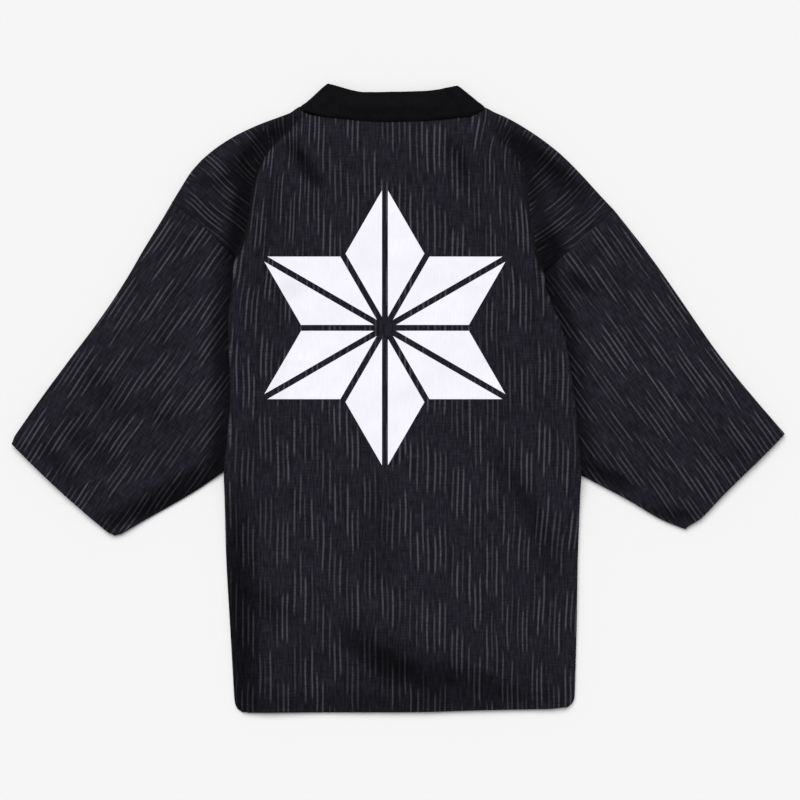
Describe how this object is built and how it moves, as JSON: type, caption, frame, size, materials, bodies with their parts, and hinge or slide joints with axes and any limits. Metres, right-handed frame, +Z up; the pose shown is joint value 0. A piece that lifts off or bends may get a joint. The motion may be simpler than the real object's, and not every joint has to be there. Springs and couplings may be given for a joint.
{
  "type": "happi coat",
  "caption": "Short padded happi coat of dark striped cotton with wide sleeves and a plain black collar band, laid flat with its back up.",
  "frame": {"origin": "on the surface the coat lies on, under the middle of its bounding box", "axes": "+Z up through the coat's back, +Y towards its neck, +X towards the wearer's right"},
  "size_m": [1.0525, 0.8558, 0.0171],
  "materials": {
    "striped_cloth": "matt charcoal cotton with fine broken stripes in light grey",
    "collar_cloth": "matt plain black cotton",
    "print": "matt white print in the cloth of the back"
  },
  "bodies": {
    "root": {"back": "striped_cloth", "front_left": "striped_cloth", "front_right": "striped_cloth", "sleeve_left": "striped_cloth", "sleeve_right": "striped_cloth", "collar": "collar_cloth"}
  },
  "joints": []
}
